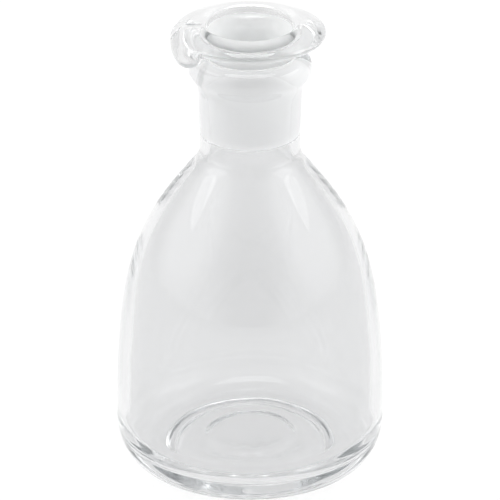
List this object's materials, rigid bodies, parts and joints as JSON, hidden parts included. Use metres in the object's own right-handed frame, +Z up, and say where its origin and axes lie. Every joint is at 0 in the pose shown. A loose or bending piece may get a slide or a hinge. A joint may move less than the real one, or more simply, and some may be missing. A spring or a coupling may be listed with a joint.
{
  "type": "dropping bottle",
  "caption": "Pear-shaped clear glass dropping bottle with a ground neck and a hollow, wide-flanged, ground-in stopper whose beak pours drops.",
  "frame": {"origin": "centre of the ring that the bottle stands on", "axes": "+Z up along the bottle's axis, -Y towards the stopper's beak, +X to the right when the beak faces the viewer"},
  "size_m": [0.06, 0.06, 0.1054],
  "materials": {
    "bottle_glass": "clear and smooth, frosted where the neck bore is ground",
    "stopper_glass": "clear and smooth, frosted where the plug is ground"
  },
  "bodies": {
    "bottle": {"bottle": "bottle_glass"},
    "stopper": {"stopper": "stopper_glass"}
  },
  "joints": [
    {"name": "stopper_lift", "type": "slide", "parent": "bottle", "child": "stopper", "axis": [0, 0, 1], "range_m": [0, 0.03]}
  ]
}
